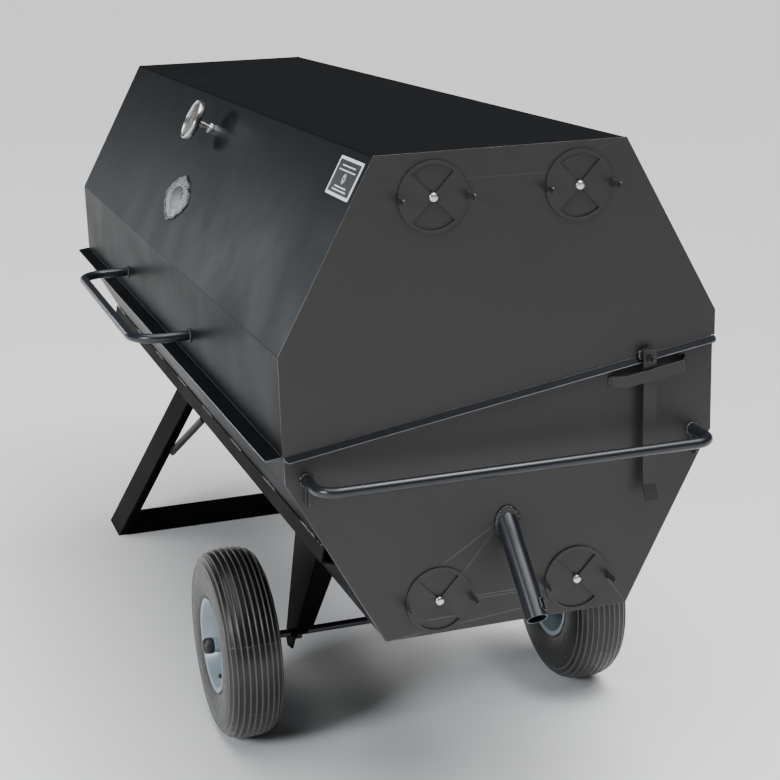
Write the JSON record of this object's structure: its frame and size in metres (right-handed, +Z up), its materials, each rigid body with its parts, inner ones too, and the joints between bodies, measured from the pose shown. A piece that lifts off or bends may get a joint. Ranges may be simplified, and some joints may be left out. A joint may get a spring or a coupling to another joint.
{
  "type": "charcoal roaster",
  "caption": "Long octagonal steel charcoal roaster: tub and hinged lid meeting on a slanted seam, round draught dampers, drain pipe, lid handle, barrow wheels and splayed feet.",
  "frame": {"origin": "on the ground, under the middle of the bounding box", "axes": "+X towards the wheel, vent and drain end along the long axis, +Y towards the lid hinge, +Z up"},
  "size_m": [2.29, 0.97, 1.2538],
  "materials": {
    "black_powder": "satin powder coat, slightly glossy",
    "zinc_steel": "bright zinc plated",
    "stainless": "polished stainless",
    "rubber": "moulded rubber",
    "tyre": "ribbed pneumatic tyre",
    "rim_paint": "pale grey-blue paint",
    "dial_white": "printed dial",
    "needle_red": "painted needle",
    "lens": "clear flat glass",
    "badge_plate": "dark plain badge with raised border",
    "plate_silver": "plain satin plate"
  },
  "bodies": {
    "tub": {"tub_wrap": "black_powder", "tub_end_near": "black_powder", "tub_end_far": "black_powder", "side_rail_front": "black_powder", "wheel_leg_front": "black_powder", "wheel_leg_rear": "black_powder", "foot_leg_front": "black_powder", "foot_leg_rear": "black_powder", "foot_crossbar": "black_powder", "brace_front": "black_powder", "brace_rear": "black_powder", "axle": "zinc_steel", "axle_collars": "zinc_steel", "axle_caps": "rubber", "end_handle_near": "black_powder", "end_handle_far": "black_powder", "handle_gussets": "black_powder", "drain_pipe": "black_powder", "drain_collar": "black_powder", "bucket_eye": "black_powder", "stop_bridge": "black_powder", "hinge_leaves_tub": "black_powder", "hinge_pins": "zinc_steel", "grate_ledges": "black_powder", "damper_bolts_tub": "zinc_steel"},
    "lid": {"lid_wrap": "black_powder", "lid_end_near": "black_powder", "lid_end_far": "black_powder", "lid_flange_front": "black_powder", "lid_flange_near": "black_powder", "lid_flange_far": "black_powder", "lid_handle": "black_powder", "hinge_leaves_lid": "black_powder", "therm_stem": "zinc_steel", "therm_nut": "zinc_steel", "therm_case": "stainless", "therm_dial": "dial_white", "therm_needle": "needle_red", "therm_lens": "lens", "badge": "badge_plate", "rating_plate": "plate_silver", "stop_lug": "black_powder", "stop_bolt": "black_powder", "damper_bolts_lid": "zinc_steel"},
    "lid_stop": {"stop_strap": "black_powder"},
    "damper_lid_front": {"damper_lid_front": "black_powder"},
    "damper_lid_rear": {"damper_lid_rear": "black_powder"},
    "damper_tub_front": {"damper_tub_front": "black_powder"},
    "damper_tub_rear": {"damper_tub_rear": "black_powder"},
    "wheel_front": {"tyre_front": "tyre", "rim_front": "rim_paint", "valve_front": "rubber"},
    "wheel_rear": {"tyre_rear": "tyre", "rim_rear": "rim_paint", "valve_rear": "rubber"},
    "grate": {"cooking_grate": "zinc_steel"}
  },
  "joints": [
    {"name": "lid_hinge", "type": "hinge", "parent": "tub", "child": "lid", "pos_m": [-0.02552, 0.448, 0.891], "axis": [-1, 0, 0], "range_deg": [0, 86]},
    {"name": "stop_swing", "type": "hinge", "parent": "lid", "child": "lid_stop", "pos_m": [1.01998, 0.305, 0.865], "axis": [-1, 0, 0], "range_deg": [-62, 5]},
    {"name": "damper_lid_front_turn", "type": "hinge", "parent": "lid", "child": "damper_lid_front", "pos_m": [1.00448, -0.086, 1.178], "axis": [1, 0, 0], "range_deg": [-90, 90]},
    {"name": "damper_lid_rear_turn", "type": "hinge", "parent": "lid", "child": "damper_lid_rear", "pos_m": [1.00448, 0.176, 1.178], "axis": [1, 0, 0], "range_deg": [-90, 90]},
    {"name": "damper_tub_front_turn", "type": "hinge", "parent": "tub", "child": "damper_tub_front", "pos_m": [1.00148, -0.091, 0.468], "axis": [1, 0, 0], "range_deg": [-90, 90]},
    {"name": "damper_tub_rear_turn", "type": "hinge", "parent": "tub", "child": "damper_tub_rear", "pos_m": [1.00148, 0.171, 0.468], "axis": [1, 0, 0], "range_deg": [-90, 90]},
    {"name": "wheel_front_spin", "type": "hinge", "parent": "tub", "child": "wheel_front", "pos_m": [0.43448, -0.333, 0.1955], "axis": [0, 1, 0], "continuous": true},
    {"name": "wheel_rear_spin", "type": "hinge", "parent": "tub", "child": "wheel_rear", "pos_m": [0.43448, 0.413, 0.1955], "axis": [0, 1, 0], "continuous": true},
    {"name": "grate_lift", "type": "slide", "parent": "tub", "child": "grate", "axis": [0, 0, 1], "range_m": [0, 0.12]}
  ],
  "couplings": [
    {"joint": "stop_swing", "follows": "lid_hinge", "ratio": -0.7}
  ]
}
